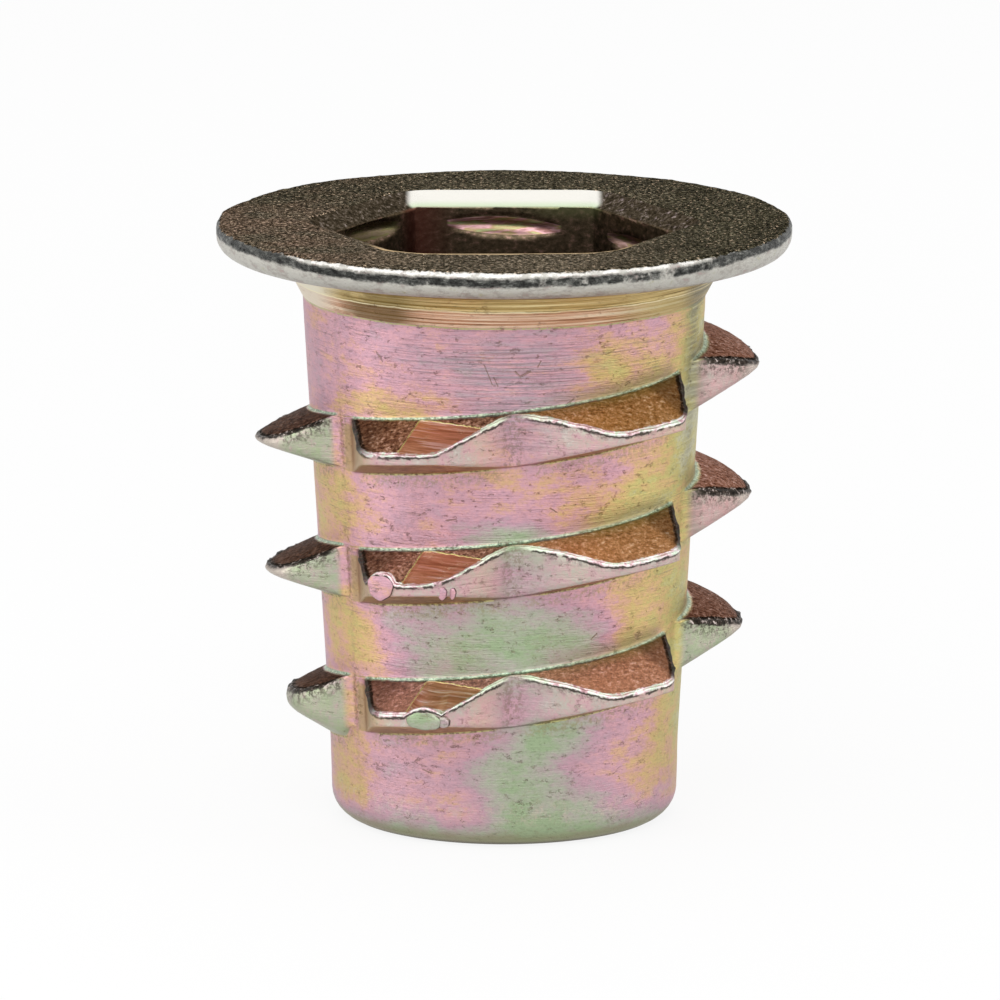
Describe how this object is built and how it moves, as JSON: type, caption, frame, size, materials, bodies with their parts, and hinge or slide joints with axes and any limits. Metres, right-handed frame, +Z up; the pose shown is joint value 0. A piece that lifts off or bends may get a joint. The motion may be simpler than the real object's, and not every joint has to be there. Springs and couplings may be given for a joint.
{
  "type": "flanged threaded insert",
  "caption": "Flanged threaded insert for timber, cast whole: hex key socket, tapped through bore and a coarse scalloped right-hand outside ridge.",
  "frame": {"origin": "centre of the nose's end face, on the axis", "axes": "+Z up the axis, out of the key socket; -Y is the front, where the picture's camera stands; +X is to its right"},
  "size_m": [0.0142, 0.0142, 0.015],
  "materials": {
    "chromated_zinc": "cast zinc under yellow chromate: satin, iridescent pink, gold and green, with a dark grained flange top"
  },
  "bodies": {
    "root": {"threaded_insert": "chromated_zinc"}
  },
  "joints": []
}
